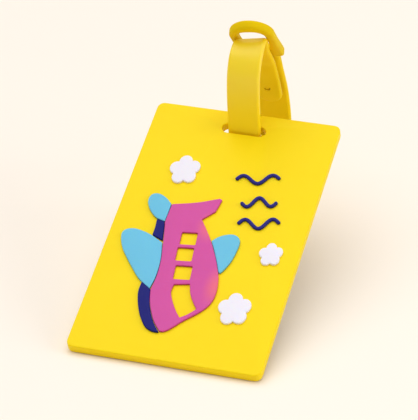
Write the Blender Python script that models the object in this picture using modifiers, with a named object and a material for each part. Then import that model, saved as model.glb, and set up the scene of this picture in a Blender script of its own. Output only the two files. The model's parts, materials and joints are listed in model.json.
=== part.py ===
"""Luggage tag: a soft PVC plate with raised artwork, a card pocket and a ring strap.

The plate leans back and stands on its bottom edge and on the strap's ring.
Metres, +Z up, +X along the plate's width, +Y away from the plate's face.
The origin is the middle of the object's footprint, on the table.
"""
from math import acos, asin, cos, pi, radians, sin, sqrt

import bmesh
import bpy
from mathutils import Matrix, Vector

MM = 0.001
GAP = 0.3 * MM  # clearance between touching pieces

# Plate
PLATE_W = 68 * MM
PLATE_H = 112 * MM
PLATE_T = 3.5 * MM
PLATE_CORNER = 2.5 * MM
LEAN = radians(22.08)  # the plate's slope above the table

# Slot for the strap, near the plate's top edge
SLOT_W = 16 * MM
SLOT_H = 4.3 * MM
SLOT_Y = 48.2 * MM  # above the plate's middle

# Card pocket in the plate's back, open at the left edge
WINDOW_T = 0.5 * MM
WINDOW_W = 60 * MM
WINDOW_H = 91 * MM
CARD_T = 0.4 * MM
CARD_W = 54 * MM
CARD_H = 85 * MM
LEDGE_DEPTH = WINDOW_T + GAP
POCKET_DEPTH = LEDGE_DEPTH + CARD_T + GAP
THUMB_RADIUS = 9 * MM

# Strap
STRAP_T = 2.5 * MM
STRAP_HALF_W = 6 * MM
TAIL_HALF_W = 4.85 * MM
TIP_LENGTH = 4.5 * MM
STATION = 1.6 * MM  # spacing of the strap's cross-sections
EDGE_ROUND = 0.8 * MM

# Keeper: the ring head at the strap's fixed end
KEEPER_T = 3.4 * MM
KEEPER_HALF_W = 8.0 * MM
KEEPER_LENGTH = 28.9 * MM
KEEPER_BAR = 4.6 * MM
KEEPER_WINDOW_HALF_W = 4.9 * MM
KEEPER_WINDOW_X = -0.35 * MM
KEEPER_WINDOW_END = 23.5 * MM
TOP_ROLL = radians(8)  # the strap's top sits slightly twisted
BEND_ROLL = radians(10)  # and the bend a little more

# Button that holds the tail
PEG_R = 0.8 * MM
HOLE_R = 1.15 * MM
BUTTON_FROM_TIP = 8.6 * MM
HINGE_FROM_TIP = 21 * MM

RELIEF_T = 1.0 * MM
BEAD_R = 0.75 * MM

# The strap's side view as (y, z) in mm from the middle of the plate's lower back edge.
# It starts at the keeper, runs down the back, round the ring, up through the slot,
# over the top and down again to the tip.
KEEPER_END = (98.35, 82.3)
KEEPER_FOOT = (119.05, 62.2)
RING_ROUTE = [
    KEEPER_FOOT, (120.9, 59.6), (123.8, 55.0), (127.7, 49.3), (131.1, 44.0), (134.0, 38.0),
    (136.4, 31.5), (137.9, 25.5), (138.4, 19.5), (137.0, 13.0), (133.2, 7.1), (127.6, 3.2),
    (121.5, 1.5), (115.5, 1.5), (109.4, 4.0), (103.9, 9.3), (100.1, 17.5), (98.2, 26.0),
    (96.9, 34.0), (95.9, 40.8), (94.9, 47.5), (94.0, 53.5), (93.5, 59.5), (93.9, 65.0),
    (96.0, 69.8), (99.2, 72.7), (102.2, 73.7), (104.8, 71.3), (107.9, 68.3), (111.7, 64.8),
    (115.2, 61.1), (117.5, 58.6), (120.0, 54.8), (123.5, 49.7), (126.3, 45.0), (130.2, 38.0),
]

# Artwork outlines in mm on the plate, from its middle, +y towards the slot.
# Each point is (x, y) or (x, y, "corner"); plain points are rounded by the curve.
FUSELAGE = [
    (-15.3, 9.4, "corner"), (-6.6, 11.8), (0.5, 14.8, "corner"), (1.3, 14.5, "corner"),
    (0.4, 9.1, "corner"), (-3.4, 4.8, "corner"), (0.2, -0.4), (3.8, -6.5), (7.0, -13.0), (9.3, -19.1),
    (10.3, -25.4), (9.6, -30.3), (7.1, -34.3), (2.5, -39.0), (-1.2, -43.4), (-2.9, -44.6, "corner"),
    (-4.0, -44.6, "corner"), (-6.8, -41.2), (-9.2, -36.8), (-10.9, -32.4), (-11.9, -28.2, "corner"),
    (-11.5, -22.6), (-12.0, -15.5), (-13.1, -9.8), (-13.8, -6.3), (-14.9, -1.1),
    (-15.5, 1.5, "corner"),
]
NEAR_WING = [
    (-14.0, -7.9, "corner"), (-12.4, -15.4), (-12.0, -22.8), (-12.6, -27.7, "corner"), (-17.2, -24.4),
    (-21.0, -20.1), (-24.1, -16.2), (-26.9, -12.2), (-28.7, -7.7), (-28.6, -5.1), (-25.8, -3.6),
    (-21.7, -4.2), (-18.3, -5.4, "corner"),
]
FAR_WING = [
    (2.9, -4.0, "corner"), (4.8, -1.9), (7.4, -0.4), (9.7, 0.0), (11.5, -0.9), (12.4, -2.7),
    (12.4, -6.1), (11.7, -11.1), (10.5, -14.7), (9.4, -16.9, "corner"), (8.9, -16.6, "corner"),
    (7.2, -12.6), (4.7, -7.3),
]
TAILPLANE = [
    (-15.8, 9.5, "corner"), (-18.4, 11.9), (-21.3, 13.2), (-23.5, 12.5), (-24.1, 9.9), (-23.0, 7.0),
    (-20.9, 4.3), (-18.7, 2.6), (-15.9, 1.7, "corner"), (-15.8, 5.0),
]
BELLY_FRONT = [
    (-15.8, -25.9, "corner"), (-12.2, -28.3, "corner"), (-11.2, -32.7), (-9.5, -37.2), (-7.0, -41.8),
    (-4.4, -45.1, "corner"), (-6.3, -45.1), (-9.0, -43.9), (-11.6, -40.6), (-13.6, -36.8),
    (-15.2, -32.4), (-15.9, -29.1),
]
BELLY_REAR = [
    (-18.6, 1.9, "corner"), (-15.8, 1.2, "corner"), (-15.1, -2.2), (-14.3, -6.6, "corner"),
    (-18.2, -4.9, "corner"), (-18.2, -1.8),
]
# The cabin windows lean with the aeroplane: x, y, width and height of each.
CABIN_WINDOWS = [(-5.35, -4.4, 5.9, 5.7), (-4.8, -11.35, 6.05, 6.1), (-3.2, -19.2, 6.2, 6.25)]
CABIN_TURN = radians(6)
COCKPIT = [
    (-4.9, -24.5, "corner"), (0.7, -23.3, "corner"), (2.0, -27.3), (3.8, -30.5),
    (5.9, -33.4, "corner"), (3.7, -36.1), (1.1, -38.2, "corner"), (-1.1, -35.4), (-3.5, -31.4),
    (-5.0, -27.8),
]
ROSETTES = [(-15.5, 25.7, 5.55), (24.4, -5.9, 4.2), (18.4, -31.0, 5.75)]  # x, y, radius
ROSETTE_STRETCH = 1.2  # the rosettes are a little taller than wide
# Three breeze lines: start (x, y), length, wave height, half waves.
BREEZES = [((3.6, 24.6), 15.5, 1.9, 3), ((8.2, 14.9), 12.5, -2.0, 3), ((9.6, 5.2), 14.5, 2.1, 3)]
BREEZE_TURN = radians(11)

YELLOW = (0.98, 0.72, 0.02)
PINK = (0.66, 0.11, 0.37)
BLUE = (0.18, 0.55, 0.79)
NAVY = (0.02, 0.02, 0.18)
WHITE = (0.90, 0.87, 0.93)
CLEAR = (0.85, 0.88, 0.90)
PAPER = (0.90, 0.88, 0.82)


def material(name, colour, roughness=0.45, alpha=1.0):
    """A plain moulded finish, made once for each name."""
    found = bpy.data.materials.get(name)
    if found:
        return found
    made = bpy.data.materials.new(name)
    made.use_nodes = True
    shader = made.node_tree.nodes["Principled BSDF"]
    shader.inputs["Base Color"].default_value = (*colour, 1)
    shader.inputs["Roughness"].default_value = roughness
    shader.inputs["Metallic"].default_value = 0
    shader.inputs["Alpha"].default_value = alpha
    return made


def collection(name):
    made = bpy.data.collections.new(name)
    bpy.context.scene.collection.children.link(made)
    return made


def finish(obj, parts, mat):
    obj.data.materials.clear()
    obj.data.materials.append(mat)
    parts.objects.link(obj)
    return obj


# ---------------------------------------------------------------- flat outlines

def smooth_spline(curve, points, scale=MM, steps=7):
    """A closed Bezier outline: smooth through its points, sharp at its corners."""
    spline = curve.splines.new("BEZIER")
    spline.use_cyclic_u = True
    spline.resolution_u = steps
    spline.bezier_points.add(len(points) - 1)
    count = len(points)
    spots = [Vector((p[0], p[1], 0)) * scale for p in points]
    for i, point in enumerate(spline.bezier_points):
        before, here, after = spots[i - 1], spots[i], spots[(i + 1) % count]
        point.co = here
        point.handle_left_type = point.handle_right_type = "FREE"
        if len(points[i]) == 3:
            point.handle_left = here + (before - here) * 0.3
            point.handle_right = here + (after - here) * 0.3
            continue
        along = (after - before).normalized()
        point.handle_left = here - along * (here - before).length * 0.35
        point.handle_right = here + along * (after - here).length * 0.35


def poly_spline(curve, spots):
    spline = curve.splines.new("POLY")
    spline.use_cyclic_u = True
    spline.points.add(len(spots) - 1)
    for point, (x, y) in zip(spline.points, spots):
        point.co = (x, y, 0, 1)


def arc(cx, cy, radius, start, end, steps):
    span = end - start
    return [(cx + radius * cos(start + span * i / steps), cy + radius * sin(start + span * i / steps))
            for i in range(steps + 1)]


def rounded_box(x0, y0, x1, y1, radius, steps=6):
    """Counter-clockwise rounded rectangle."""
    corners = ((x1 - radius, y1 - radius, 0), (x0 + radius, y1 - radius, pi / 2),
               (x0 + radius, y0 + radius, pi), (x1 - radius, y0 + radius, 1.5 * pi))
    return [p for cx, cy, turn in corners for p in arc(cx, cy, radius, turn, turn + pi / 2, steps)]


def turned(spots, angle, cx, cy):
    return [(cx + x * cos(angle) - y * sin(angle), cy + x * sin(angle) + y * cos(angle))
            for x, y in spots]


def flat_curve(name, thickness, fill):
    curve = bpy.data.curves.new(name, "CURVE")
    curve.dimensions = "2D"
    curve.fill_mode = "BOTH"
    curve.extrude = thickness / 2
    fill(curve)
    return bpy.data.objects.new(name, curve)


def to_mesh(curve_obj, parts):
    """Turn a curve object into a welded mesh object of the same name and place."""
    parts.objects.link(curve_obj)
    bpy.context.view_layer.update()
    evaluated = curve_obj.evaluated_get(bpy.context.evaluated_depsgraph_get())
    mesh = bpy.data.meshes.new_from_object(evaluated)
    name, place = curve_obj.name, curve_obj.matrix_world.copy()
    curve = curve_obj.data
    bpy.data.objects.remove(curve_obj)
    bpy.data.curves.remove(curve)
    work = bmesh.new()
    work.from_mesh(mesh)
    bmesh.ops.remove_doubles(work, verts=work.verts, dist=0.00001)
    bmesh.ops.recalc_face_normals(work, faces=work.faces)
    work.to_mesh(mesh)
    work.free()
    made = bpy.data.objects.new(name, mesh)
    made.matrix_world = place
    return made


def plate_piece(name, parts, tag, thickness, height, fill, mat):
    """A flat piece on the plate; height is its middle above the plate's front face."""
    made = to_mesh(flat_curve(name, thickness, fill), parts)
    made.parent = tag
    made.location = (0, 0, height)
    return finish(made, parts, mat)


def cut(obj, cutter):
    cutter.hide_render = True
    cutter.display_type = "WIRE"
    boolean = obj.modifiers.new("cut_" + cutter.name, "BOOLEAN")
    boolean.operation = "DIFFERENCE"
    boolean.solver = "EXACT"
    boolean.object = cutter


# ---------------------------------------------------------------- the tag

def slot_outline():
    r = SLOT_H / 2
    reach = SLOT_W / 2 - r
    return arc(reach, SLOT_Y, r, -pi / 2, pi / 2, 8) + arc(-reach, SLOT_Y, r, pi / 2, 1.5 * pi, 8)


def tag_body(parts, cutters, tag):
    def fill(curve):
        poly_spline(curve, rounded_box(-PLATE_W / 2, -PLATE_H / 2, PLATE_W / 2, PLATE_H / 2, PLATE_CORNER))
        poly_spline(curve, slot_outline())

    body = plate_piece("tag_body", parts, tag, PLATE_T, -PLATE_T / 2, fill, material("soft_yellow", YELLOW))
    side = GAP * 2
    recesses = (
        ("window_rebate", (-PLATE_W / 2 - side, -WINDOW_H / 2 - GAP, WINDOW_W / 2 + GAP, WINDOW_H / 2 + GAP),
         LEDGE_DEPTH, 2.3 * MM),
        ("card_recess", (-PLATE_W / 2 - side, -CARD_H / 2 - GAP, CARD_W / 2 + GAP, CARD_H / 2 + GAP),
         POCKET_DEPTH, 1.6 * MM),
    )
    for name, (x0, y0, x1, y1), depth, radius in recesses:
        outline = rounded_box(x0 - 3 * radius, y0, x1, y1, radius)
        cutter = to_mesh(flat_curve(name, depth * 2, lambda c, o=outline: poly_spline(c, o)), cutters)
        cutters.objects.link(cutter)
        cutter.parent = tag
        cutter.location = (0, 0, -PLATE_T)
        cut(body, cutter)
    return body


def clear_window(parts, tag):
    def fill(curve):
        """The sheet has a thumb notch in its open edge."""
        reach = WINDOW_W / 2
        low = rounded_box(-reach, -WINDOW_H / 2, reach, WINDOW_H / 2, 2 * MM)
        half = len(low) // 2
        notch = arc(-reach - THUMB_RADIUS * 0.4, 0, THUMB_RADIUS, asin(sqrt(1 - 0.4 ** 2)),
                    -asin(sqrt(1 - 0.4 ** 2)), 12)
        poly_spline(curve, low[:half] + notch + low[half:])

    return plate_piece("clear_window", parts, tag, WINDOW_T, -PLATE_T + WINDOW_T / 2, fill,
                       material("clear_sheet", CLEAR, 0.12, 0.3))


def address_card(parts, tag):
    def fill(curve):
        poly_spline(curve, rounded_box(-CARD_W / 2, -CARD_H / 2, CARD_W / 2, CARD_H / 2, 1.2 * MM, 4))

    height = -PLATE_T + LEDGE_DEPTH + CARD_T / 2
    return plate_piece("address_card", parts, tag, CARD_T, height, fill, material("card", PAPER, 0.85))


# ---------------------------------------------------------------- raised artwork

def relief(name, parts, tag, mat, fill):
    return plate_piece(name, parts, tag, RELIEF_T, GAP + RELIEF_T / 2, fill, mat)


def fuselage(parts, tag):
    def fill(curve):
        smooth_spline(curve, FUSELAGE)
        for x, y, wide, high in CABIN_WINDOWS:
            box = rounded_box(-wide * MM / 2, -high * MM / 2, wide * MM / 2, high * MM / 2, 0.6 * MM, 3)
            poly_spline(curve, turned(box, CABIN_TURN, x * MM, y * MM))
        smooth_spline(curve, COCKPIT)

    return relief("plane_fuselage", parts, tag, material("pink", PINK), fill)


def rosette_outline(x, y, radius):
    """Five round petals: the outer arcs of five circles around the middle, drawn out upwards."""
    petals, offset = 5, 0.57 * radius
    petal_r = radius - offset
    half = pi / 2 + pi / petals - acos(offset * sin(pi / petals) / petal_r)  # where petals meet
    outline = []
    for k in range(petals):
        way = pi / 2 + radians(11) + k * 2 * pi / petals
        cx, cy = offset * cos(way), offset * sin(way)
        outline += arc(cx, cy, petal_r, way - half, way + half, 9)[:-1]
    return [((x + px) * MM, (y + py * ROSETTE_STRETCH) * MM) for px, py in outline]


def breeze_stroke(name, parts, tag, start, length, height, half_waves):
    """A round bead that waves like a line of wind."""
    curve = bpy.data.curves.new(name, "CURVE")
    curve.dimensions = "3D"
    curve.bevel_depth = BEAD_R
    curve.bevel_resolution = 2
    curve.use_fill_caps = True
    spline = curve.splines.new("POLY")
    steps = 10 * half_waves
    spline.points.add(steps)
    for i, point in enumerate(spline.points):
        t = i / steps
        spot = (length * t, height * sin(t * half_waves * pi))
        (x, y), = turned([spot], BREEZE_TURN, *start)
        point.co = (x * MM, y * MM, 0, 1)
    made = to_mesh(bpy.data.objects.new(name, curve), parts)
    made.parent = tag
    made.location = (0, 0, GAP + BEAD_R)
    return finish(made, parts, material("navy", NAVY))


def artwork(parts, tag):
    fuselage(parts, tag)
    blue, navy, white = material("light_blue", BLUE), material("navy", NAVY), material("white", WHITE)
    for name, outline, mat in (
            ("plane_near_wing", NEAR_WING, blue), ("plane_far_wing", FAR_WING, blue),
            ("plane_tailplane", TAILPLANE, blue), ("plane_belly_front", BELLY_FRONT, navy),
            ("plane_belly_rear", BELLY_REAR, navy)):
        relief(name, parts, tag, mat, lambda c, o=outline: smooth_spline(c, o))
    for k, (x, y, radius) in enumerate(ROSETTES, 1):
        relief(f"rosette_{k}", parts, tag, white,
               lambda c, o=rosette_outline(x, y, radius): poly_spline(c, o))
    for k, (start, length, height, half_waves) in enumerate(BREEZES, 1):
        breeze_stroke(f"breeze_stroke_{k}", parts, tag, start, length, height, half_waves)


# ---------------------------------------------------------------- the strap

def route_points(points, step):
    """Evenly spaced points on a smooth curve through the route's own points."""
    spots = [Vector((0, y * MM, z * MM)) for y, z in points]
    ends = [spots[0] * 2 - spots[1]] + spots + [spots[-1] * 2 - spots[-2]]
    fine = []
    for a, b, c, d in zip(ends, ends[1:], ends[2:], ends[3:]):
        for i in range(24):
            t = i / 24
            fine.append(0.5 * (2 * b + (c - a) * t + (2 * a - 5 * b + 4 * c - d) * t * t
                               + (3 * b - a - 3 * c + d) * t ** 3))
    fine.append(spots[-1])
    marks = [0.0]
    for p, q in zip(fine, fine[1:]):
        marks.append(marks[-1] + (q - p).length)
    count = round(marks[-1] / step)
    even, k = [], 0
    for i in range(count + 1):
        goal = marks[-1] * i / count
        while k < len(marks) - 2 and marks[k + 1] < goal:
            k += 1
        t = (goal - marks[k]) / (marks[k + 1] - marks[k])
        even.append(fine[k].lerp(fine[k + 1], t))
    return even, marks[-1] / count


def smoothstep(low, high, value):
    t = min(max((value - low) / (high - low), 0), 1)
    return t * t * (3 - 2 * t)


class Route:
    """The strap's middle line: a point, its direction and its outward normal at a length."""

    def __init__(self):
        self.points, self.step = route_points(RING_ROUTE, 0.4 * MM)
        self.length = self.step * (len(self.points) - 1)

    def spot(self, s):
        at = min(max(s / self.step, 0), len(self.points) - 1.001)
        return self.points[int(at)].lerp(self.points[int(at) + 1], at - int(at))

    def along(self, s):
        return (self.spot(s + self.step) - self.spot(s - self.step)).normalized()

    def side(self, s):
        """The direction across the strap: +X, rolled a little at the strap's top."""
        out = Vector((1, 0, 0)).cross(self.along(s))
        forward, height = self.spot(s).yz / MM
        if s < self.length / 2:
            roll = TOP_ROLL * smoothstep(45, 62, height)
        else:
            roll = BEND_ROLL * smoothstep(96, 103, forward) * smoothstep(40, 56, height)
        return Vector((1, 0, 0)) * cos(roll) + out * sin(roll)


def half_width(s, total):
    """Full width on the ring, a slow taper over the top, and a round tip."""
    width = STRAP_HALF_W + (TAIL_HALF_W - STRAP_HALF_W) * smoothstep(total * 0.785, total * 0.84, s)
    left = total - s
    if left < TIP_LENGTH:
        width *= sqrt(max(1 - (1 - left / TIP_LENGTH) ** 2, 0))
    return width


def strip(name, parts, route, start, end, mat):
    """A stretch of the strap: a sheet that follows the route, thickened and rounded."""
    work = bmesh.new()
    count = max(2, round((end - start) / STATION))
    places = [start + (end - start) * i / count for i in range(count + 1)]
    if end > route.length - MM:
        places = [s for s in places if s < route.length - TIP_LENGTH]
        places += [route.length - TIP_LENGTH * (1 - sin(pi / 2 * i / 7)) for i in range(8)]
        places[-1] = route.length - 0.02 * MM
    rows = []
    for s in places:
        across = route.side(s) * half_width(s, route.length)
        rows.append([work.verts.new(route.spot(s) + across * k) for k in (-1, 0, 1)])
    for low, high in zip(rows, rows[1:]):
        for k in range(2):
            work.faces.new((low[k], low[k + 1], high[k + 1], high[k]))
    mesh = bpy.data.meshes.new(name)
    work.to_mesh(mesh)
    work.free()
    made = finish(bpy.data.objects.new(name, mesh), parts, mat)
    thick = made.modifiers.new("thickness", "SOLIDIFY")
    thick.thickness = STRAP_T
    thick.offset = 0
    thick.use_even_offset = True
    edges = made.modifiers.new("edges", "BEVEL")
    edges.width = EDGE_ROUND
    edges.segments = 2
    edges.limit_method = "ANGLE"
    edges.angle_limit = radians(50)
    return made


def keeper(parts, route, mat):
    """The wide ring head with its oblong window."""
    foot = Vector((0, KEEPER_FOOT[0] * MM, KEEPER_FOOT[1] * MM))
    end = Vector((0, KEEPER_END[0] * MM, KEEPER_END[1] * MM))
    down = (foot - end).normalized()
    side = route.side(0)
    out = side.cross(down).normalized()
    w, shoulder = KEEPER_HALF_W, 1.2 * MM
    bottom = KEEPER_LENGTH - 2 * GAP

    def fill(curve):
        outline = arc(0, -w, w, 0, pi, 18)
        outline += arc(-w + shoulder, -bottom + shoulder, shoulder, pi, 1.5 * pi, 4)
        outline += arc(w - shoulder, -bottom + shoulder, shoulder, 1.5 * pi, 2 * pi, 4)
        poly_spline(curve, outline)
        left, right = KEEPER_WINDOW_X - KEEPER_WINDOW_HALF_W, KEEPER_WINDOW_X + KEEPER_WINDOW_HALF_W
        poly_spline(curve, rounded_box(left, -KEEPER_WINDOW_END, right, -KEEPER_BAR, 3.8 * MM, 5))

    made = to_mesh(flat_curve("strap_keeper", KEEPER_T, fill), parts)
    made.matrix_world = Matrix((side, -down, -out)).transposed().to_4x4()
    made.location = end
    edges = made.modifiers.new("edges", "BEVEL")
    edges.width = 0.7 * MM
    edges.segments = 2
    edges.limit_method = "ANGLE"
    edges.angle_limit = radians(50)
    return finish(made, parts, mat)


def strap(parts, cutters, mat):
    route = Route()
    hinge = route.length - HINGE_FROM_TIP
    strip("strap_band", parts, route, GAP, hinge - GAP / 2, mat)
    tail = strip("strap_tail", parts, route, hinge + GAP / 2, route.length, mat)
    keeper(parts, route, mat)

    button = route.length - BUTTON_FROM_TIP
    middle, side, along = route.spot(button), route.side(button), route.along(button)
    outward = side.cross(along).normalized()
    if outward.y < 0:
        outward = -outward
    turn = outward.to_track_quat("Z", "X").to_matrix().to_4x4()

    bpy.ops.mesh.primitive_cylinder_add(vertices=24, radius=HOLE_R, depth=4 * STRAP_T)
    hole = bpy.context.object
    hole.name = "button_hole"
    hole.matrix_world = Matrix.Translation(middle) @ turn
    for home in list(hole.users_collection):
        home.objects.unlink(hole)
    cutters.objects.link(hole)
    cut(tail, hole)

    backing = min(range(len(route.points) // 3),
                  key=lambda i: abs((route.points[i] - middle).dot(along)))
    reach = (route.points[backing] - middle).dot(outward) - STRAP_T / 2 - GAP
    inner_end = -STRAP_T / 2 + 0.35 * MM
    bpy.ops.mesh.primitive_cylinder_add(vertices=24, radius=PEG_R, depth=reach - inner_end)
    peg = bpy.context.object
    peg.name = "strap_button"
    peg.matrix_world = Matrix.Translation(middle + outward * (reach + inner_end) / 2) @ turn
    for home in list(peg.users_collection):
        home.objects.unlink(peg)
    finish(peg, parts, mat)
    return route


def main():
    for obj in list(bpy.data.objects):
        bpy.data.objects.remove(obj, do_unlink=True)
    parts = collection("luggage_tag")
    cutters = collection("cutters")

    tag = bpy.data.objects.new("tag_frame", None)
    parts.objects.link(tag)
    artwork(parts, tag)
    tag_body(parts, cutters, tag)
    clear_window(parts, tag)
    address_card(parts, tag)
    route = strap(parts, cutters, material("soft_yellow", YELLOW))

    # The plate's lower back edge is on the table; the ring's back is the rearmost point.
    up_the_plate = Vector((0, cos(LEAN), sin(LEAN)))
    out_of_face = Vector((0, -sin(LEAN), cos(LEAN)))
    tag.rotation_euler = (LEAN, 0, 0)
    tag.location = up_the_plate * PLATE_H / 2 + out_of_face * PLATE_T
    front = out_of_face.y * PLATE_T
    back = max(point.y for point in route.points) + STRAP_T / 2
    shift = Vector((0, -(front + back) / 2, 0))
    tag.location += shift
    for name in ("strap_band", "strap_tail", "strap_keeper", "strap_button", "button_hole"):
        bpy.data.objects[name].location += shift


main()
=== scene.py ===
"""The looks of the luggage tag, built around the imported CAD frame. Metres, +Z up."""
import json
from math import cos, pi, radians, sin, sqrt

import bmesh
import bpy
from mathutils import Matrix, Vector


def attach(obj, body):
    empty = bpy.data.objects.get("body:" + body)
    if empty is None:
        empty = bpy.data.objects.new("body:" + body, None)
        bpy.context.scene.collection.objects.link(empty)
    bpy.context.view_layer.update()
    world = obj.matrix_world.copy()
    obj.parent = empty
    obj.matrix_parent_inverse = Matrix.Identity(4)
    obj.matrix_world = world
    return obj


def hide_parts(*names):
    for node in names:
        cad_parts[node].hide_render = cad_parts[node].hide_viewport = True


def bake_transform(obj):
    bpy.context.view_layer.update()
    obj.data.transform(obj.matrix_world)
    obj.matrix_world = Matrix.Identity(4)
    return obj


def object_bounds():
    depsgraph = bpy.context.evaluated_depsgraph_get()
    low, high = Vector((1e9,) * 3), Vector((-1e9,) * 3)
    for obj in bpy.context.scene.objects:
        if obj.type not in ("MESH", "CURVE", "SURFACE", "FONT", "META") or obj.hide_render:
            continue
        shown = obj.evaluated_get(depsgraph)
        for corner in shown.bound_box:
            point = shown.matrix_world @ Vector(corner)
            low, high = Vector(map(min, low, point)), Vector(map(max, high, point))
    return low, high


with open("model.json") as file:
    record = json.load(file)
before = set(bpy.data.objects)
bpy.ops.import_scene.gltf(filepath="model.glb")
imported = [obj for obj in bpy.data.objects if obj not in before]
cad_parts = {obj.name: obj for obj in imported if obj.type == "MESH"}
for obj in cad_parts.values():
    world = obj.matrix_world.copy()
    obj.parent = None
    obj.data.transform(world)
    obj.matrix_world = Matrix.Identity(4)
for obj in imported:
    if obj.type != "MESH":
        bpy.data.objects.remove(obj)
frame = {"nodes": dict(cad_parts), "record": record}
cad_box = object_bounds()

MM = 0.001
GAP = 0.3 * MM  # the CAD's clearance between touching pieces
SINK = 0.12 * MM  # how far a raised field reaches into the plate
BEAD_SINK = 0.35 * MM
FIELD_SPREAD = 0.14 * MM  # how far a field's sides move out, to meet its neighbours
FIELD_ROUND = 0.32 * MM
PLATE_ROUND = 0.45 * MM
ROUND_STEPS = 4
ROUND_ANGLE = radians(60)  # only edges sharper than this are rounded
PAINTED_SHADE_REACH = 0.86 * MM  # how far up from the plate a raised field's walls get painted shade
WELD = 0.002 * MM
FLAT = radians(0.5)  # faces that meet at less than this are one flat face
UPRIGHT = 0.5  # a wall's normal has less than this along the plate's
SLOWEST = 0.4  # the least a corner's move is divided by, so that sharp corners don't shoot out

# ---------------------------------------------------------------- places from the frame

mounts = {m["name"]: m for m in frame["record"]["mounts"]}
UP_PLATE = -Vector(mounts["lower_edge"]["axis"]).normalized()
OUT_PLATE = -Vector(mounts["pocket_back"]["axis"]).normalized()
PLATE_MIDDLE = Vector(mounts["pocket_back"]["pos_m"])  # on the plate's back face
FACE_LEVEL = min(vert.co.dot(OUT_PLATE) for vert in frame["nodes"]["plane_fuselage"].data.vertices) - GAP

# The strap's route, as in the CAD: (y, z) in mm from the middle of the plate's lower back edge.
KEEPER_END = (98.35, 82.3)
KEEPER_FOOT = (119.05, 62.2)
RING_ROUTE = [
    KEEPER_FOOT, (120.9, 59.6), (123.8, 55.0), (127.7, 49.3), (131.1, 44.0), (134.0, 38.0),
    (136.4, 31.5), (137.9, 25.5), (138.4, 19.5), (137.0, 13.0), (133.2, 7.1), (127.6, 3.2),
    (121.5, 1.5), (115.5, 1.5), (109.4, 4.0), (103.9, 9.3), (100.1, 17.5), (98.2, 26.0),
    (96.9, 34.0), (95.9, 40.8), (94.9, 47.5), (94.0, 53.5), (93.5, 59.5), (93.9, 65.0),
    (96.0, 69.8), (99.2, 72.7), (102.2, 73.7), (104.8, 71.3), (107.9, 68.3), (111.7, 64.8),
    (115.2, 61.1), (117.5, 58.6), (120.0, 54.8), (123.5, 49.7), (126.3, 45.0), (130.2, 38.0),
]
CURVE_STEPS = 24  # between two of the route's own points
ROUTE_STEP = 0.4 * MM
STRAP_T = 2.5 * MM
STRAP_X = 0.15 * MM
STRAP_HALF_W = 6.0 * MM
STRAP_START = -2 * MM  # the band begins this far inside the keeper
SECTION_STEP = 0.8 * MM
EDGE_WIDE = 1.0 * MM  # the strap's edge rounding, across and deep
EDGE_DEEP = 1.15 * MM
EDGE_STEPS = 5
FACE_LANES = (0.5, 0, -0.5)  # where a section has points between its edges
TAIL_HALF_W = 4.85 * MM
TAPER = (0.785, 0.84)  # the band narrows to the tail between these parts of its length
TIP_LENGTH = 4.5 * MM
TIP_STEPS = 24
TIP_LEFT = 0.01 * MM
KEEPER_T = 3.4 * MM
KEEPER_HALF_W = 8.0 * MM
KEEPER_LENGTH = 28.9 * MM
KEEPER_FOOT_R = 1.2 * MM
KEEPER_BAR = 4.6 * MM
KEEPER_WINDOW_HALF_W = 4.9 * MM
KEEPER_WINDOW_R = 3.8 * MM
KEEPER_WINDOW_X = -0.35 * MM
KEEPER_WINDOW_END = 23.5 * MM
KEEPER_DOME = 0.6 * MM
KEEPER_ROUND = 1.1 * MM
KEEPER_ROUND_STEPS = 4
KEEPER_RAYS = 176
KEEPER_REACH = 30 * MM  # beyond its edge from any point inside it
HALVINGS = 30
TOP_ROLL = radians(8)
TOP_ROLL_HEIGHTS = (45, 62)  # mm
BEND_ROLL = radians(10)
BEND_ROLL_HEIGHTS = (40, 56)
BEND_ROLL_FORWARD = (96, 103)
HOLE_R = 1.15 * MM
BUTTON_FROM_TIP = 8.6 * MM
HINGE_FROM_TIP = 21 * MM
SEAM_FROM_TIP = 40 * MM
BEND_REACH = 6 * MM  # the length either side of the tail's hinge over which the tail bends; the script only looks up the route at its ends
RULE_SPACING = 11 * MM  # the card's printed lines
RULE_WIDTH = 0.45 * MM
RULE_REACH_UP = 30 * MM
RULE_REACH_ACROSS = 21 * MM
CORAL_SPOTS = (((0.0096, -0.0400), (0.0052, 0.0100)), ((0.0006, -0.0172), (0.0058, 0.0078)))
CORAL_STRENGTH = 0.8
# how dark the painted shade at a field's foot gets
PAINTED_SHADE_STRENGTH = 0.9
MOTTLE = 0.5  # how much of the deeper colour the pigment clouds bring in


# ---------------------------------------------------------------- materials

def srgb(red, green, blue):
    """Linear colour from 0-255 display values."""
    def line(value):
        value /= 255
        return value / 12.92 if value <= 0.04045 else ((value + 0.055) / 1.055) ** 2.4
    return line(red), line(green), line(blue), 1


def node(tree, kind, **values):
    made = tree.nodes.new(kind)
    for key, value in values.items():
        if hasattr(made, key):
            setattr(made, key, value)
        else:
            made.inputs[key.replace("_", " ")].default_value = value
    return made


def painted_foot_shade(tree, place, paint, shade):
    """Painted shade: a deeper colour low on a raised field's walls, where it meets the plate and shade
    gathers.
    """
    height = node(tree, "ShaderNodeVectorMath", operation="DOT_PRODUCT")
    tree.links.new(place.outputs["Object"], height.inputs[0])
    height.inputs[1].default_value = OUT_PLATE
    fade = node(tree, "ShaderNodeMapRange", interpolation_type="SMOOTHSTEP", From_Min=FACE_LEVEL,
                From_Max=FACE_LEVEL + PAINTED_SHADE_REACH, To_Min=PAINTED_SHADE_STRENGTH, To_Max=0.0)
    tree.links.new(height.outputs["Value"], fade.inputs["Value"])
    blend = node(tree, "ShaderNodeMix", data_type="RGBA")
    blend.inputs[7].default_value = shade
    tree.links.new(fade.outputs["Result"], blend.inputs[0])
    tree.links.new(paint, blend.inputs[6])
    return blend.outputs[2]


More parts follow.
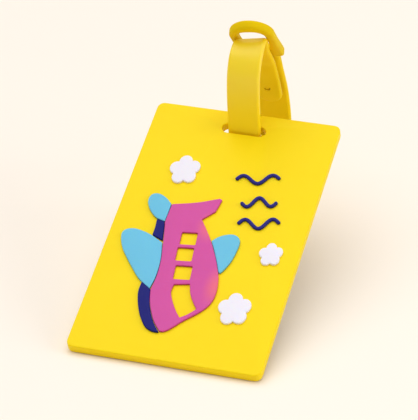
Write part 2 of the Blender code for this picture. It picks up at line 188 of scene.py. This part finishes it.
def soft_pvc(name, colour, deep, roughness=0.5, gleam=0.16, tint=None, foot=None):
    """Moulded soft PVC: faint pigment clouding, fine mould texture and uneven gloss."""
    mat = bpy.data.materials.new(name)
    mat.use_nodes = True
    tree = mat.node_tree
    shader = tree.nodes["Principled BSDF"]
    shader.inputs["IOR"].default_value = 1.5
    shader.inputs["Specular IOR Level"].default_value = gleam
    shader.inputs["Subsurface Weight"].default_value = 0.12
    shader.inputs["Subsurface Radius"].default_value = (1.0, 0.55, 0.2)
    shader.inputs["Subsurface Scale"].default_value = 0.0012
    place = node(tree, "ShaderNodeTexCoord")
    link = tree.links.new

    clouds = node(tree, "ShaderNodeTexNoise", Scale=95.0, Detail=3.0, Roughness=0.55)
    link(place.outputs["Object"], clouds.inputs["Vector"])
    ramp = node(tree, "ShaderNodeMapRange", From_Min=0.3, From_Max=0.75, To_Min=0.0, To_Max=MOTTLE)
    link(clouds.outputs["Fac"], ramp.inputs["Value"])
    blend = node(tree, "ShaderNodeMix", data_type="RGBA")
    blend.inputs[6].default_value = colour
    blend.inputs[7].default_value = deep
    link(ramp.outputs["Result"], blend.inputs[0])
    paint = blend.outputs[2]
    if tint:
        paint = tint(tree, place, paint)
    # painted shade: the foot colour darkens the walls low down, where the field meets the plate
    if foot:
        paint = painted_foot_shade(tree, place, paint, foot)
    link(paint, shader.inputs["Base Color"])

    haze = node(tree, "ShaderNodeTexNoise", Scale=320.0, Detail=2.0)
    link(place.outputs["Object"], haze.inputs["Vector"])
    gloss = node(tree, "ShaderNodeMapRange", To_Min=roughness - 0.06, To_Max=roughness + 0.08)
    link(haze.outputs["Fac"], gloss.inputs["Value"])
    link(gloss.outputs["Result"], shader.inputs["Roughness"])

    grain = node(tree, "ShaderNodeTexNoise", Scale=2600.0, Detail=2.0)
    link(place.outputs["Object"], grain.inputs["Vector"])
    bump = node(tree, "ShaderNodeBump", Strength=0.12, Distance=0.00004)
    link(grain.outputs["Fac"], bump.inputs["Height"])
    link(bump.outputs["Normal"], shader.inputs["Normal"])
    return mat


def coral_edge(tree, place, paint):
    """The pink field's airbrushed coral: strongest along its nose side and at the fin's root."""
    split = node(tree, "ShaderNodeSeparateXYZ")
    tree.links.new(place.outputs["Object"], split.inputs["Vector"])
    wobble = node(tree, "ShaderNodeTexNoise", Scale=60.0, Detail=2.0)
    tree.links.new(place.outputs["Object"], wobble.inputs["Vector"])
    masks = []
    for (cx, cy), (rx, ry) in CORAL_SPOTS:
        reach = node(tree, "ShaderNodeMapping")
        reach.inputs["Location"].default_value = (-cx / rx, -cy / ry, 0)
        reach.inputs["Scale"].default_value = (1 / rx, 1 / ry, 0)
        tree.links.new(place.outputs["Object"], reach.inputs["Vector"])
        far = node(tree, "ShaderNodeVectorMath", operation="LENGTH")
        tree.links.new(reach.outputs["Vector"], far.inputs[0])
        fade = node(tree, "ShaderNodeMapRange", interpolation_type="SMOOTHSTEP")
        fade.inputs["From Min"].default_value = 1.0
        fade.inputs["From Max"].default_value = 0.0
        fade.inputs["To Max"].default_value = CORAL_STRENGTH
        tree.links.new(far.outputs["Value"], fade.inputs["Value"])
        masks.append(fade.outputs["Result"])
    both = node(tree, "ShaderNodeMath", operation="MAXIMUM")
    tree.links.new(masks[0], both.inputs[0])
    tree.links.new(masks[1], both.inputs[1])
    blend = node(tree, "ShaderNodeMix", data_type="RGBA")
    blend.inputs[7].default_value = srgb(238, 114, 126)
    tree.links.new(both.outputs[0], blend.inputs[0])
    tree.links.new(paint, blend.inputs[6])
    return blend.outputs[2]


YELLOW = soft_pvc("soft_yellow", srgb(252, 220, 10), srgb(250, 217, 4))
# The strap's inner faces, its button and the keeper take darker copies of the strap yellow: painted shade for
# the loop's inside and the keeper's shaded face.
STRAP_SHADED = soft_pvc("soft_yellow_strap", srgb(241, 206, 0), srgb(237, 200, 0), roughness=0.62, gleam=0.08)
KEEPER_SHADED = soft_pvc("soft_yellow_keeper", srgb(230, 196, 0), srgb(226, 190, 0), roughness=0.62, gleam=0.08)
STRAP_FACE = soft_pvc("soft_yellow_polished", srgb(255, 224, 0), srgb(253, 219, 0), roughness=0.42, gleam=0.7)
# Each field's foot colour is painted shade, darkening its walls where they meet the plate.
PINK = soft_pvc("soft_pink", srgb(211, 84, 162), srgb(206, 80, 156), tint=coral_edge, foot=srgb(150, 10, 30))
BLUE = soft_pvc("soft_light_blue", srgb(110, 194, 226), srgb(104, 188, 222), foot=srgb(40, 96, 130))
NAVY = soft_pvc("soft_navy", srgb(16, 22, 118), srgb(12, 16, 104), foot=srgb(8, 8, 44))
BEAD = soft_pvc("soft_navy_bead", srgb(40, 40, 132), srgb(32, 32, 120), foot=srgb(10, 8, 40))
WHITE = soft_pvc("soft_white", srgb(240, 236, 246), srgb(234, 230, 244))


def clear_sheet():
    """Thin clear PVC with a slight haze and fine rub marks."""
    mat = bpy.data.materials.new("clear_sheet")
    mat.use_nodes = True
    tree = mat.node_tree
    shader = tree.nodes["Principled BSDF"]
    shader.inputs["Base Color"].default_value = srgb(240, 244, 246)
    shader.inputs["Alpha"].default_value = 0.16
    shader.inputs["IOR"].default_value = 1.5
    place = node(tree, "ShaderNodeTexCoord")
    rubs = node(tree, "ShaderNodeTexNoise", Scale=180.0, Detail=4.0, Distortion=0.6)
    tree.links.new(place.outputs["Object"], rubs.inputs["Vector"])
    gloss = node(tree, "ShaderNodeMapRange", To_Min=0.08, To_Max=0.24)
    tree.links.new(rubs.outputs["Fac"], gloss.inputs["Value"])
    tree.links.new(gloss.outputs["Result"], shader.inputs["Roughness"])
    waves = node(tree, "ShaderNodeTexNoise", Scale=35.0, Detail=1.0)
    tree.links.new(place.outputs["Object"], waves.inputs["Vector"])
    bump = node(tree, "ShaderNodeBump", Strength=0.3, Distance=0.0006)
    tree.links.new(waves.outputs["Fac"], bump.inputs["Height"])
    tree.links.new(bump.outputs["Normal"], shader.inputs["Normal"])
    return mat


def rule_lines(tree, place, paint):
    """Evenly spaced grey rules, kept clear of the card's edges."""
    link = tree.links.new
    heights = node(tree, "ShaderNodeVectorMath", operation="DOT_PRODUCT")
    link(place.outputs["Object"], heights.inputs[0])
    heights.inputs[1].default_value = UP_PLATE
    level = node(tree, "ShaderNodeMath", operation="ADD")
    link(heights.outputs["Value"], level.inputs[0])
    level.inputs[1].default_value = -PLATE_MIDDLE.dot(UP_PLATE)
    off = node(tree, "ShaderNodeMath", operation="PINGPONG")
    link(level.outputs[0], off.inputs[0])
    off.inputs[1].default_value = RULE_SPACING / 2
    span = node(tree, "ShaderNodeSeparateXYZ")
    link(place.outputs["Object"], span.inputs["Vector"])
    masks = []
    for value, limit in ((off.outputs[0], RULE_WIDTH / 2), (level.outputs[0], RULE_REACH_UP),
                         (span.outputs["X"], RULE_REACH_ACROSS)):
        size = node(tree, "ShaderNodeMath", operation="ABSOLUTE")
        link(value, size.inputs[0])
        inside = node(tree, "ShaderNodeMath", operation="LESS_THAN")
        link(size.outputs[0], inside.inputs[0])
        inside.inputs[1].default_value = limit
        masks.append(inside.outputs[0])
    both = node(tree, "ShaderNodeMath", operation="MULTIPLY")
    link(masks[0], both.inputs[0])
    link(masks[1], both.inputs[1])
    every = node(tree, "ShaderNodeMath", operation="MULTIPLY")
    link(both.outputs[0], every.inputs[0])
    link(masks[2], every.inputs[1])
    blend = node(tree, "ShaderNodeMix", data_type="RGBA")
    link(every.outputs[0], blend.inputs[0])
    link(paint, blend.inputs[6])
    blend.inputs[7].default_value = srgb(120, 126, 138)
    return blend.outputs[2]


def card_paper():
    """Uncoated card with fine fibres and thin printed rules across it."""
    mat = bpy.data.materials.new("card_paper")
    mat.use_nodes = True
    tree = mat.node_tree
    shader = tree.nodes["Principled BSDF"]
    shader.inputs["Roughness"].default_value = 0.85
    place = node(tree, "ShaderNodeTexCoord")
    fibre = node(tree, "ShaderNodeTexNoise", Scale=900.0, Detail=4.0)
    tree.links.new(place.outputs["Object"], fibre.inputs["Vector"])
    ramp = node(tree, "ShaderNodeMix", data_type="RGBA")
    ramp.inputs[6].default_value = srgb(248, 246, 240)
    ramp.inputs[7].default_value = srgb(236, 233, 224)
    tree.links.new(fibre.outputs["Fac"], ramp.inputs[0])
    tree.links.new(rule_lines(tree, place, ramp.outputs[2]), shader.inputs["Base Color"])
    bump = node(tree, "ShaderNodeBump", Strength=0.25, Distance=0.00005)
    tree.links.new(fibre.outputs["Fac"], bump.inputs["Height"])
    tree.links.new(bump.outputs["Normal"], shader.inputs["Normal"])
    return mat


# ---------------------------------------------------------------- mesh helpers

def new_piece(name, mesh, mat):
    obj = bpy.data.objects.new(name, mesh)
    bpy.context.scene.collection.objects.link(obj)
    mesh.materials.append(mat)
    return obj


def smooth(mesh, angle):
    """Smooth shading, with edges sharper than the angle (in degrees) left crisp."""
    mesh.shade_smooth()
    mesh.set_sharp_from_angle(angle=radians(angle))


def add_bevel(obj, width):
    bevel = obj.modifiers.new("round", "BEVEL")
    bevel.width = width
    bevel.segments = ROUND_STEPS
    bevel.limit_method = "ANGLE"
    bevel.angle_limit = ROUND_ANGLE
    bevel.use_clamp_overlap = False


def apply_all(obj):
    """Turns the object's modifiers into real geometry."""
    bpy.context.view_layer.update()
    mesh = bpy.data.meshes.new_from_object(obj.evaluated_get(bpy.context.evaluated_depsgraph_get()))
    obj.modifiers.clear()
    obj.data = mesh
    return mesh


def cad_copy(name):
    """A clean copy of a CAD node's mesh: its flat faces merged again."""
    work = bmesh.new()
    work.from_mesh(frame["nodes"][name].data)
    bmesh.ops.remove_doubles(work, verts=work.verts, dist=WELD)
    bmesh.ops.dissolve_limit(work, angle_limit=FLAT, verts=work.verts, edges=work.edges)
    return work


def to_mesh(work, name):
    mesh = bpy.data.meshes.new(name)
    work.to_mesh(mesh)
    work.free()
    return mesh


def fatten(work, amount):
    """Moves the upright walls of a flat piece outwards, in the plate's plane."""
    work.normal_update()
    moves = {}
    for vert in work.verts:
        walls = [f.normal for f in vert.link_faces if abs(f.normal.dot(OUT_PLATE)) < UPRIGHT]
        if not walls:
            continue
        way = sum(walls, Vector()).normalized()
        moves[vert] = way * (amount / max(way.dot(walls[0]), SLOWEST))
    for vert, move in moves.items():
        vert.co += move


# ---------------------------------------------------------------- the plate and its artwork

def plate():
    work = cad_copy("tag_body")
    obj = new_piece("tag_plate", to_mesh(work, "tag_plate"), YELLOW)
    add_bevel(obj, PLATE_ROUND)
    smooth(apply_all(obj), 30)
    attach(obj, "tag")
    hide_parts("tag_body")


def raised_field(node_name, piece_name, mat, spread):
    work = cad_copy(node_name)
    fatten(work, spread)
    for vert in work.verts:
        vert.co -= OUT_PLATE * (GAP + SINK)
    obj = new_piece(piece_name, to_mesh(work, piece_name), mat)
    add_bevel(obj, FIELD_ROUND)
    smooth(apply_all(obj), 40)
    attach(obj, "tag")
    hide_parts(node_name)


def bead(node_name, piece_name):
    work = cad_copy(node_name)
    for vert in work.verts:
        vert.co -= OUT_PLATE * (GAP + BEAD_SINK)
    obj = new_piece(piece_name, to_mesh(work, piece_name), BEAD)
    sub = obj.modifiers.new("sub", "SUBSURF")
    sub.levels = sub.render_levels = 1
    smooth(apply_all(obj), 80)
    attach(obj, "tag")
    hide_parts(node_name)


def artwork():
    for node_name, mat, slot in (
            ("plane_fuselage", PINK, "soft_pink"), ("plane_near_wing", BLUE, "soft_light_blue"),
            ("plane_far_wing", BLUE, "soft_light_blue"), ("plane_tailplane", BLUE, "soft_light_blue"),
            ("plane_belly_front", NAVY, "soft_navy"), ("plane_belly_rear", NAVY, "soft_navy")):
        raised_field(node_name, node_name + "_field", mat, FIELD_SPREAD)
    for k in (1, 2, 3):
        raised_field(f"rosette_{k}", f"rosette_{k}_field", WHITE, 0)
    for k in (1, 2, 3):
        bead(f"breeze_stroke_{k}", f"breeze_bead_{k}")


def pocket():
    sheet, card = frame["nodes"]["clear_window"], frame["nodes"]["address_card"]
    for obj, mat in ((sheet, clear_sheet()), (card, card_paper())):
        obj.material_slots[0].material = mat


# ---------------------------------------------------------------- the strap

def route_points(points, step):
    """Evenly spaced points on a smooth curve through the route's own points."""
    spots = [Vector((0, y * MM, z * MM)) for y, z in points]
    ends = [spots[0] * 2 - spots[1]] + spots + [spots[-1] * 2 - spots[-2]]
    fine = []
    for a, b, c, d in zip(ends, ends[1:], ends[2:], ends[3:]):
        for i in range(CURVE_STEPS):
            t = i / CURVE_STEPS
            fine.append(0.5 * (2 * b + (c - a) * t + (2 * a - 5 * b + 4 * c - d) * t * t
                               + (3 * b - a - 3 * c + d) * t ** 3))
    fine.append(spots[-1])
    marks = [0.0]
    for p, q in zip(fine, fine[1:]):
        marks.append(marks[-1] + (q - p).length)
    count = round(marks[-1] / step)
    even, k = [], 0
    for i in range(count + 1):
        goal = marks[-1] * i / count
        while k < len(marks) - 2 and marks[k + 1] < goal:
            k += 1
        t = (goal - marks[k]) / (marks[k + 1] - marks[k])
        even.append(fine[k].lerp(fine[k + 1], t))
    return even, marks[-1] / count


def smoothstep(low, high, value):
    t = min(max((value - low) / (high - low), 0), 1)
    return t * t * (3 - 2 * t)


class Route:
    """The strap's middle line: a point, its direction and its outward normal at a length."""

    def __init__(self):
        self.points, self.step = route_points(RING_ROUTE, ROUTE_STEP)
        self.length = self.step * (len(self.points) - 1)
        rear = max(point.y for point in self.points) + STRAP_T / 2
        self.shift = Vector((STRAP_X, cad_box[1][1] - rear, 0))

    def spot(self, s):
        if s < 0:
            return self.spot(0) + (self.spot(self.step) - self.spot(0)) * (s / self.step)
        at = min(max(s / self.step, 0), len(self.points) - 1.001)
        return self.points[int(at)].lerp(self.points[int(at) + 1], at - int(at)) + self.shift

    def along(self, s):
        return (self.spot(s + self.step) - self.spot(s - self.step)).normalized()

    def side(self, s):
        """The direction across the strap: +X, rolled a little at the strap's top."""
        out = Vector((1, 0, 0)).cross(self.along(s))
        forward, height = (self.spot(s) - self.shift).yz / MM
        if s < self.length / 2:
            roll = TOP_ROLL * smoothstep(*TOP_ROLL_HEIGHTS, height)
        else:
            roll = BEND_ROLL * smoothstep(*BEND_ROLL_FORWARD, forward)
            roll *= smoothstep(*BEND_ROLL_HEIGHTS, height)
        return Vector((1, 0, 0)) * cos(roll) + out * sin(roll)


def section(s, total):
    """The strap cut across at a length: its (x, height) outline, with round edges and tip."""
    narrowed = smoothstep(total * TAPER[0], total * TAPER[1], s)
    width = STRAP_HALF_W + (TAIL_HALF_W - STRAP_HALF_W) * narrowed
    left = total - s
    core = STRAP_T / 2 - EDGE_DEEP
    top = core + EDGE_DEEP * sqrt(1 - (1 - min(left / EDGE_WIDE, 1)) ** 2)
    wall = []
    for i in range(-EDGE_STEPS, EDGE_STEPS + 1):
        height = top * sin(pi / 2 * i / EDGE_STEPS)
        part = min(max((abs(height) - core) / EDGE_DEEP, 0), 1)
        inset = EDGE_WIDE * (1 - sqrt(1 - part ** 2))
        half = width - inset
        if left < TIP_LENGTH:
            gone = 1 - max(left - inset, 0) / (TIP_LENGTH - inset)
            half *= sqrt(max(1 - gone ** 2, 0))
        wall.append((half, height))
    flat = wall[-1][0]
    over = [(flat * lane, top) for lane in FACE_LANES]
    under = [(-flat * lane, -top) for lane in FACE_LANES]
    return wall + over + [(-half, height) for half, height in reversed(wall)] + under


def strip(name, route, start, end):
    """A stretch of the strap: its rounded section carried along the route and closed."""
    count = round((end - start) / SECTION_STEP)
    places = [start + (end - start) * i / count for i in range(count + 1)]
    if end == route.length:
        places = [s for s in places if s < end - TIP_LENGTH]
        places += [end - TIP_LENGTH * (1 - sin(pi / 2 * i / TIP_STEPS)) for i in range(TIP_STEPS)]
        places.append(end - TIP_LEFT)
    work = bmesh.new()
    loops = []
    for s in places:
        side = route.side(s)
        out = side.cross(route.along(s)).normalized()
        loops.append([work.verts.new(route.spot(s) + side * x + out * height)
                      for x, height in section(s, route.length)])
    for low, high in zip(loops, loops[1:]):
        for k in range(len(low)):
            face = work.faces.new((low[k - 1], low[k], high[k], high[k - 1]))
            outer = EDGE_STEPS < k < 3 * EDGE_STEPS + len(FACE_LANES) + 1
            face.material_index = 0 if outer else 1  # polished outside; satin inside, in the darker painted-shade copy of the yellow
    work.faces.new(loops[0])
    work.faces.new(loops[-1][::-1])
    bmesh.ops.recalc_face_normals(work, faces=work.faces)
    mesh = to_mesh(work, name)
    smooth(mesh, 60)
    obj = new_piece(name, mesh, STRAP_FACE)
    mesh.materials.append(STRAP_SHADED)
    return obj


def outside(x, y, top, bottom, half, top_r, bottom_r):
    """Distance from a rounded box's edge: above nought outside it."""
    middle, reach = (top + bottom) / 2, (top - bottom) / 2
    radius = top_r if y > middle else bottom_r
    across, up = abs(x) - half + radius, abs(y - middle) - reach + radius
    return min(max(across, up), 0) + sqrt(max(across, 0) ** 2 + max(up, 0) ** 2) - radius


def edge_point(angle, heart, shape):
    """Where a ray from the heart, at an angle, meets a rounded box's edge."""
    near, far = 0.0, KEEPER_REACH
    for _ in range(HALVINGS):
        middle = (near + far) / 2
        if outside(middle * cos(angle), heart + middle * sin(angle), *shape) < 0:
            near = middle
        else:
            far = middle
    return Vector((near * cos(angle), heart + near * sin(angle), 0))


def round_section(width, thick, radius):
    """A rounded rectangle from 0 to width, as fractions along it and heights."""
    spots = []
    for cx, cz, turn in ((width - radius, thick / 2 - radius, 0), (radius, thick / 2 - radius, pi / 2),
                         (radius, radius - thick / 2, pi), (width - radius, radius - thick / 2, 1.5 * pi)):
        for i in range(KEEPER_ROUND_STEPS + 1):
            angle = turn + pi / 2 * i / KEEPER_ROUND_STEPS
            spots.append(((cx + radius * cos(angle)) / width, cz + radius * sin(angle)))
    return spots


def keeper(route):
    """The wide ring head, slightly domed across, with soft edges."""
    foot = Vector((0, KEEPER_FOOT[0] * MM, KEEPER_FOOT[1] * MM))
    end = Vector((0, KEEPER_END[0] * MM, KEEPER_END[1] * MM))
    down = (foot - end).normalized()
    side = route.side(0)
    out = side.cross(down).normalized()
    heart = -(KEEPER_BAR + KEEPER_WINDOW_END) / 2
    rim = (0, -KEEPER_LENGTH, KEEPER_HALF_W, KEEPER_HALF_W, KEEPER_FOOT_R)
    window = (-KEEPER_BAR, -KEEPER_WINDOW_END, KEEPER_WINDOW_HALF_W, KEEPER_WINDOW_R, KEEPER_WINDOW_R)
    work = bmesh.new()
    loops = []
    for i in range(KEEPER_RAYS):
        angle = 2 * pi * i / KEEPER_RAYS
        inner, outer = edge_point(angle, heart, window), edge_point(angle, heart, rim)
        inner.x += KEEPER_WINDOW_X
        loop = []
        for part, height in round_section((outer - inner).length, KEEPER_T, KEEPER_ROUND):
            spot = inner.lerp(outer, part)
            fade = smoothstep(-KEEPER_LENGTH, -KEEPER_LENGTH * 0.4, spot.y)
            dome = KEEPER_DOME * fade * (spot.x / KEEPER_HALF_W) ** 2
            loop.append(work.verts.new((spot.x, spot.y, height + dome)))
        loops.append(loop)
    for low, high in zip(loops, loops[1:] + loops[:1]):
        for k in range(len(low)):
            work.faces.new((low[k - 1], low[k], high[k], high[k - 1]))
    bmesh.ops.recalc_face_normals(work, faces=work.faces)
    turn = Matrix((side, -down, -out)).transposed().to_4x4()
    turn.translation = end + route.shift
    work.transform(turn)
    mesh = to_mesh(work, "strap_keeper_ring")
    smooth(mesh, 60)
    # the keeper takes the darker painted-shade copy of the strap yellow
    return new_piece("strap_keeper_ring", mesh, KEEPER_SHADED)


def strap():
    route = Route()
    hinge = route.length - HINGE_FROM_TIP
    seam = route.length - SEAM_FROM_TIP
    band = strip("strap_band_ring", route, STRAP_START, seam)
    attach(band, "strap")
    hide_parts("strap_band")
    ring = keeper(route)
    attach(ring, "strap")
    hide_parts("strap_keeper")

    tail = strip("strap_tail_end", route, seam, route.length)
    button = route.length - BUTTON_FROM_TIP
    middle, side, along = route.spot(button), route.side(button), route.along(button)
    outward = side.cross(along).normalized()
    bpy.ops.mesh.primitive_cylinder_add(vertices=48, radius=HOLE_R, depth=4 * STRAP_T)
    hole = bpy.context.object
    hole.matrix_world = Matrix.Translation(middle) @ outward.to_track_quat("Z", "X").to_matrix().to_4x4()
    cut = tail.modifiers.new("hole", "BOOLEAN")
    cut.operation = "DIFFERENCE"
    cut.object = hole
    smooth(apply_all(tail), 50)
    bpy.data.objects.remove(hole)
    route.spot(hinge - BEND_REACH)
    route.spot(hinge + BEND_REACH)
    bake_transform(tail)
    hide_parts("strap_tail")

    frame["nodes"]["strap_button"].material_slots[0].material = STRAP_SHADED


# ---------------------------------------------------------------- floor, light and camera

FLOOR_SIZE = 60
FLOOR_COLOUR = srgb(250, 241, 230)
FILL_LIGHT = (0.36, 0.353, 0.346, 1)  # what the surroundings shine on the tag
SURROUNDINGS = srgb(247, 240, 229)  # what the camera sees past the floor's end
SUN_SPREAD = radians(80)
SUN_POWER = 2.0
SUN_WAY = (0.28, -0.1, -1.36)
AREA_LIGHTS = (  # name, place, what it points at, size and power
    ("front", (-0.5, -1.3, 0.9), (0, 0, 0.04), 1.2, 1.0),
    ("side", (1.3, 0.0, 0.5), (0, 0, 0.03), 0.9, 6.0),
)
CAMERA_LENS = 214.25
CAMERA_SENSOR = 36
CAMERA_NEAREST = 0.05
CAMERA_PLACE = (0.22102, -0.73899, 0.44360)
CAMERA_LOOK = (-0.25687, 0.83973, -0.47840)
CAMERA_UP = (-0.13994, 0.45747, 0.87814)


def floor():
    bpy.ops.mesh.primitive_plane_add(size=FLOOR_SIZE)
    plane = bpy.context.object
    plane.name = "studio_floor"
    mat = bpy.data.materials.new("studio_floor")
    mat.use_nodes = True
    shader = mat.node_tree.nodes["Principled BSDF"]
    shader.inputs["Base Color"].default_value = FLOOR_COLOUR
    shader.inputs["Roughness"].default_value = 0.9
    shader.inputs["Specular IOR Level"].default_value = 0.1
    plane.data.materials.append(mat)


def area_light(name, place, target, size, power):
    light = bpy.data.lights.new(name, "AREA")
    light.shape = "DISK"
    light.size = size
    light.energy = power
    obj = bpy.data.objects.new(name, light)
    bpy.context.scene.collection.objects.link(obj)
    obj.location = place
    obj.rotation_euler = (Vector(target) - Vector(place)).to_track_quat("-Z", "Y").to_euler()


def studio():
    world = bpy.data.worlds.new("studio")
    bpy.context.scene.world = world
    world.use_nodes = True
    tree = world.node_tree
    rays = node(tree, "ShaderNodeLightPath")
    blend = node(tree, "ShaderNodeMix", data_type="RGBA")
    blend.inputs[6].default_value = FILL_LIGHT
    blend.inputs[7].default_value = SURROUNDINGS
    tree.links.new(rays.outputs["Is Camera Ray"], blend.inputs[0])
    tree.links.new(blend.outputs[2], tree.nodes["Background"].inputs["Color"])
    light = bpy.data.lights.new("softbox", "SUN")
    light.angle = SUN_SPREAD
    light.energy = SUN_POWER
    lamp = bpy.data.objects.new("softbox", light)
    bpy.context.scene.collection.objects.link(lamp)
    lamp.rotation_euler = Vector(SUN_WAY).to_track_quat("-Z", "Y").to_euler()
    for settings in AREA_LIGHTS:
        area_light(*settings)
    bpy.context.scene.view_settings.view_transform = "Standard"


def camera():
    data = bpy.data.cameras.new("camera")
    data.lens = CAMERA_LENS
    data.sensor_width = CAMERA_SENSOR
    data.clip_start = CAMERA_NEAREST
    obj = bpy.data.objects.new("camera", data)
    bpy.context.scene.collection.objects.link(obj)
    look = Vector(CAMERA_LOOK).normalized()
    up = Vector(CAMERA_UP).normalized()
    right = look.cross(up).normalized()
    turn = Matrix((right, right.cross(look), -look)).transposed().to_4x4()
    turn.translation = CAMERA_PLACE
    obj.matrix_world = turn
    bpy.context.scene.camera = obj


plate()
artwork()
pocket()
strap()
floor()
studio()
camera()
